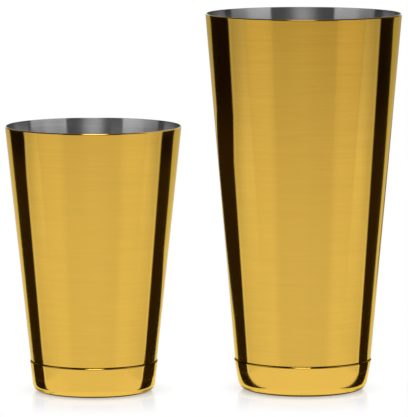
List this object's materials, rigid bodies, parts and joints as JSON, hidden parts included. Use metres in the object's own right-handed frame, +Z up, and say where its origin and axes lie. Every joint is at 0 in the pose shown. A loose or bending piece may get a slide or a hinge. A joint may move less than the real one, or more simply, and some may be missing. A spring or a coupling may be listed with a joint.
{
  "type": "cocktail shaker set",
  "caption": "Weighted cocktail shaker set: a tall and a shorter tapered steel tin, gold plated outside and bare inside, each on a capped base, joined mouth to mouth to shake drinks.",
  "frame": {"origin": "on the table, midway across the pair of tins and level with the large tin's axis", "axes": "+X from the small tin's side to the large tin's, +Y away from the viewer, +Z up along the tins' axes"},
  "size_m": [0.1858, 0.092, 0.1774],
  "materials": {
    "gold_plated_cup": "satin",
    "gold_plated_cap": "gloss",
    "weight_steel": "satin",
    "adhesive": "matte"
  },
  "bodies": {
    "large_tin": {"large_cup": "gold_plated_cup", "large_base_cap": "gold_plated_cap", "large_weight": "weight_steel", "large_weight_bond": "adhesive", "large_seam_seal": "adhesive"},
    "small_tin": {"small_cup": "gold_plated_cup", "small_base_cap": "gold_plated_cap", "small_weight": "weight_steel", "small_weight_bond": "adhesive", "small_seam_seal": "adhesive"}
  },
  "joints": [
    {"name": "small_tin_lift", "type": "slide", "parent": "large_tin", "child": "small_tin", "axis": [0, 0, 1], "range_m": [0, 0.0524]}
  ]
}
